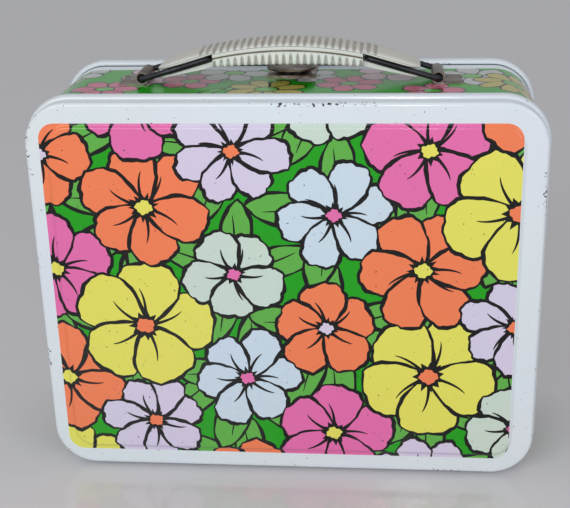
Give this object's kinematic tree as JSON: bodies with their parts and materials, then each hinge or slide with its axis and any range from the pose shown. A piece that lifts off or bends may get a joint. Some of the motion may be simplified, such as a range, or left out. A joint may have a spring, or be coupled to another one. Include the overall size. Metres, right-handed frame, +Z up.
{
  "type": "lunch box",
  "caption": "Flat steel lunch box with printed flower panels, a bottom-hinged lid, a seesaw latch and a lifting plastic handle.",
  "frame": {"origin": "middle of the base, on the plane that the two beads stand on", "axes": "+X along the width, +Y from the fixed back pan to the hinged lid, +Z up through the handle"},
  "size_m": [0.225, 0.09, 0.1956],
  "materials": {
    "printed_enamel": "gloss lithographed enamel",
    "printed_band": "gloss lithographed enamel",
    "hinge_steel": "plated, dull",
    "pin_steel": "drawn wire",
    "rivet_steel": "plated",
    "latch_steel": "worn nickel plate",
    "spring_steel": "oiled",
    "strap_steel": "tarnished plate",
    "handle_wire": "dark oxide",
    "grip_plastic": "aged white, satin",
    "bail_wire": "plated wire"
  },
  "bodies": {
    "box": {"back_pan": "printed_enamel", "side_band": "printed_band", "hinge_leaf_body_left": "hinge_steel", "hinge_leaf_body_right": "hinge_steel", "hinge_pin_left": "pin_steel", "hinge_pin_right": "pin_steel", "hinge_rivets_body": "rivet_steel", "latch_base": "latch_steel", "latch_pin": "pin_steel", "latch_spring": "spring_steel", "latch_rivets": "rivet_steel", "handle_bracket_left": "strap_steel", "handle_bracket_right": "strap_steel", "bail_clip_left": "strap_steel", "bail_clip_right": "strap_steel"},
    "lid": {"lid_pan": "printed_enamel", "hinge_leaf_lid_left": "hinge_steel", "hinge_leaf_lid_right": "hinge_steel", "hinge_rivets_lid": "rivet_steel"},
    "latch": {"latch_lever": "latch_steel"},
    "grip": {"grip_upper": "grip_plastic", "grip_lower": "grip_plastic"},
    "wire_left": {"handle_wire_left": "handle_wire"},
    "wire_right": {"handle_wire_right": "handle_wire"},
    "bail": {"bottle_bail": "bail_wire"}
  },
  "joints": [
    {"name": "lid_hinge", "type": "hinge", "parent": "box", "child": "lid", "pos_m": [0, 0.0306, 0.0016], "axis": [-1, 0, 0], "range_deg": [0, 135]},
    {"name": "latch_pivot", "type": "hinge", "parent": "box", "child": "latch", "pos_m": [0, 0.018, 0.1785], "axis": [1, 0, 0], "range_deg": [0, 9], "stiffness_Nm_per_rad": 0.03, "springref_deg": -17.19},
    {"name": "grip_lift", "type": "slide", "parent": "box", "child": "grip", "axis": [0, 0, 1], "range_m": [0, 0.0146]},
    {"name": "wire_left_swing", "type": "hinge", "parent": "box", "child": "wire_left", "pos_m": [-0.0658, 0, 0.1787], "axis": [0, -1, 0], "range_deg": [0, 25.6]},
    {"name": "wire_right_swing", "type": "hinge", "parent": "box", "child": "wire_right", "pos_m": [0.0658, 0, 0.1787], "axis": [0, 1, 0], "range_deg": [0, 25.6]},
    {"name": "bail_swing", "type": "hinge", "parent": "box", "child": "bail", "pos_m": [0, -0.036, 0.1732], "axis": [1, 0, 0], "range_deg": [0, 80]}
  ],
  "couplings": [
    {"joint": "wire_left_swing", "follows": "grip_lift", "rad_per_m": 30.6},
    {"joint": "wire_right_swing", "follows": "grip_lift", "rad_per_m": 30.6}
  ]
}
